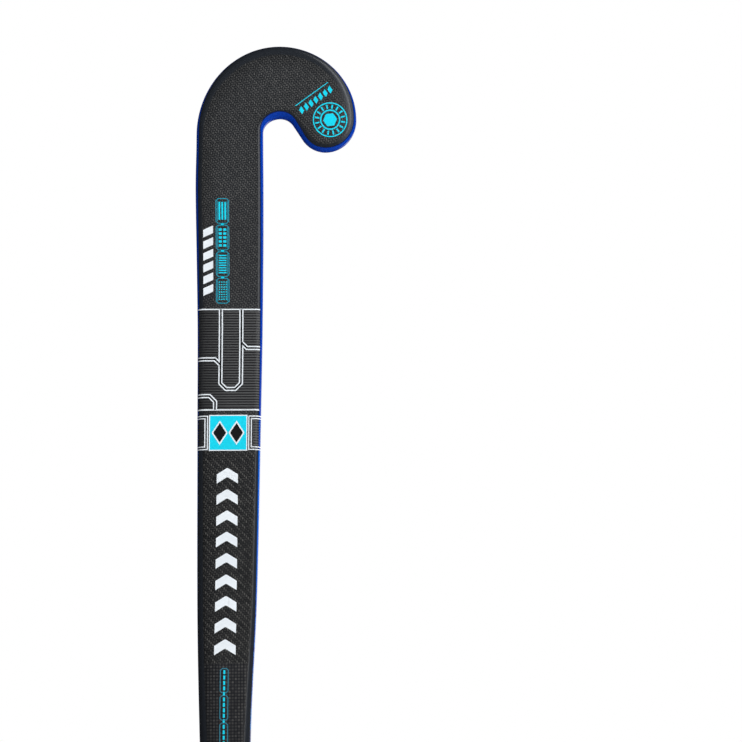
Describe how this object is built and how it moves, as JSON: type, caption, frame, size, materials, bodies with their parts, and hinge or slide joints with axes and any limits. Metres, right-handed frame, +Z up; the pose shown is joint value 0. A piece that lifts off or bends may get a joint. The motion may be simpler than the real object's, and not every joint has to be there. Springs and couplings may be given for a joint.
{
  "type": "indoor hockey stick",
  "caption": "Hook-headed indoor hockey stick with a flat black playing face, a rounded blue back, a slightly bowed shaft and a wound grip.",
  "frame": {"origin": "centre of the butt cap's flat end", "axes": "+Z up the straight handle towards the hook, -Y out of the flat playing face, +X towards the toe of the hook"},
  "size_m": [0.1154, 0.0659, 0.927],
  "materials": {
    "face_laminate": "matt black twill laminate",
    "back_laminate": "satin blue lacquer",
    "core_foam": "structural foam",
    "aramid_ply": "resin-filled aramid cloth",
    "inner_laminate": "bare carbon laminate",
    "nylon_film": "thin nylon film",
    "cap_rubber": "moulded rubber",
    "cushion_foam": "soft foam sleeve",
    "grip_wrap": "perforated cushioned wrap",
    "band_tape": "vinyl tape"
  },
  "bodies": {
    "root": {"face_shell": "face_laminate", "back_shell": "back_laminate", "head_core": "core_foam", "hook_face_ply": "aramid_ply", "heel_tube": "inner_laminate", "toe_tube": "inner_laminate", "centre_web": "inner_laminate", "heel_bladder": "nylon_film", "toe_bladder": "nylon_film", "heel_plug": "core_foam", "toe_plug": "core_foam", "butt_cap": "cap_rubber", "handle_cushion": "cushion_foam", "grip_tape": "grip_wrap", "finishing_tape": "band_tape"}
  },
  "joints": []
}
